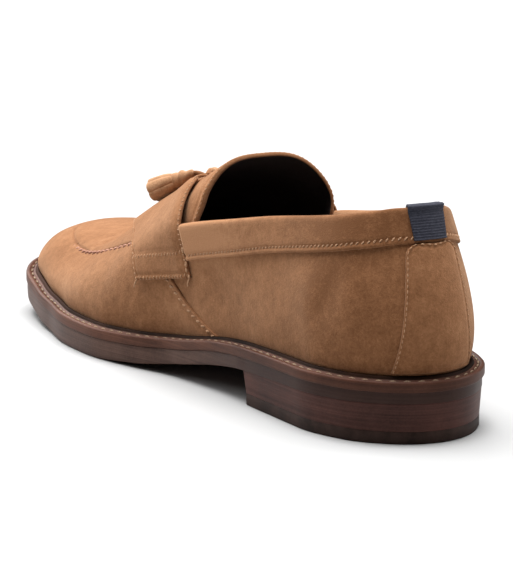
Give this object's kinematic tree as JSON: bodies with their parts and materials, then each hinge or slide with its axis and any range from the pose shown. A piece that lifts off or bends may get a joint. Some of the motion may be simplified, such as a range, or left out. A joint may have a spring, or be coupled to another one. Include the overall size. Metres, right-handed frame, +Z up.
{
  "type": "tassel loafer",
  "caption": "Suede tassel loafer for the left foot, with saddle strap, high tongue, collar band, heel loop, welted sole and stacked heel.",
  "frame": {"origin": "middle of the shoe's box, on the floor that it stands on", "axes": "+X towards the toe, +Y towards the outer side of the foot, +Z up"},
  "size_m": [0.304, 0.1056, 0.0856],
  "materials": {
    "suede": "napped suede, tan",
    "sole_edge": "dark brown, waxed edge",
    "welt_edge": "reddish brown, satin edge",
    "heel_rubber": "matt, near black",
    "lining": "smooth, dark",
    "ribbon": "ribbed woven ribbon"
  },
  "bodies": {
    "root": {"outsole": "sole_edge", "welt": "welt_edge", "heel_stack": "sole_edge", "heel_top_piece": "heel_rubber", "insole": "lining", "upper": "suede", "tongue": "suede", "saddle_strap": "suede", "collar_band": "suede", "heel_counter": "suede", "heel_tab": "ribbon", "tassel_lateral": "suede", "tassel_medial": "suede", "lace_knot": "suede"}
  },
  "joints": []
}
